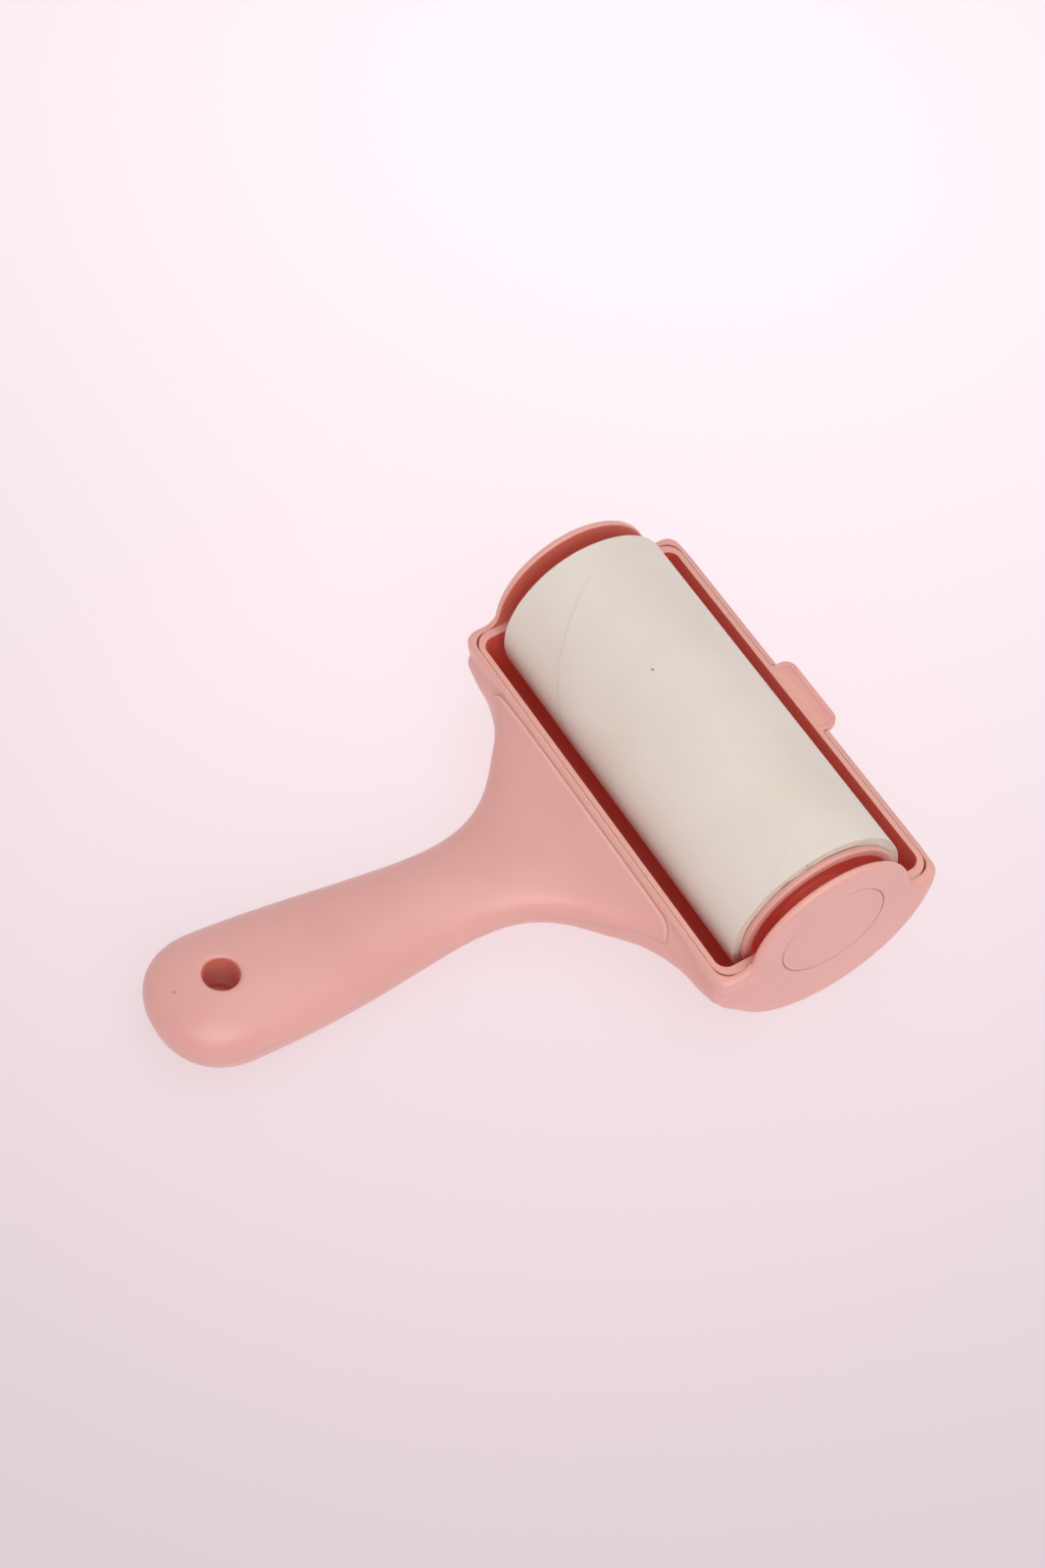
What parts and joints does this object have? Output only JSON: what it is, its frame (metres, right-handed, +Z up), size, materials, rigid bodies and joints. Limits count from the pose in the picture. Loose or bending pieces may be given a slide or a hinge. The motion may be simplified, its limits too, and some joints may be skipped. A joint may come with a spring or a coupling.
{
  "type": "lint roller",
  "caption": "Hand-held sticky-paper lint roller: half-round head with a turn-over dust cover, spinning paper roll on end hubs, and a flared two-shell handle with a hanging hole.",
  "frame": {"origin": "middle of the tool's footprint on the surface it lies on", "axes": "+X along the roll's axis, +Y from the handle towards the head, +Z up"},
  "size_m": [0.1146, 0.176, 0.0529],
  "materials": {
    "housing_plastic": "satin moulded pink plastic",
    "handle_plastic": "satin moulded pink plastic",
    "cover_plastic": "satin moulded pink plastic",
    "hub_plastic": "satin moulded pink plastic",
    "core_board": "plain spiral-wound board",
    "wound_paper": "edges of wound adhesive paper",
    "sheet_paper": "adhesive-coated paper, soft sheen"
  },
  "bodies": {
    "housing": {"head_frame": "housing_plastic", "handle_top_cover": "handle_plastic", "left_pivot_cap": "housing_plastic", "right_pivot_cap": "housing_plastic"},
    "roller": {"left_hub": "hub_plastic", "right_hub": "hub_plastic", "cardboard_core": "core_board", "sheet_windings": "wound_paper", "top_sheet": "sheet_paper"},
    "cover": {"flip_cover": "cover_plastic"}
  },
  "joints": [
    {"name": "roller_spin", "type": "hinge", "parent": "housing", "child": "roller", "pos_m": [0, 0.05432, 0.0302], "axis": [1, 0, 0], "continuous": true},
    {"name": "cover_flip", "type": "hinge", "parent": "housing", "child": "cover", "pos_m": [0, 0.05432, 0.0302], "axis": [1, 0, 0], "range_deg": [0, 178]}
  ]
}
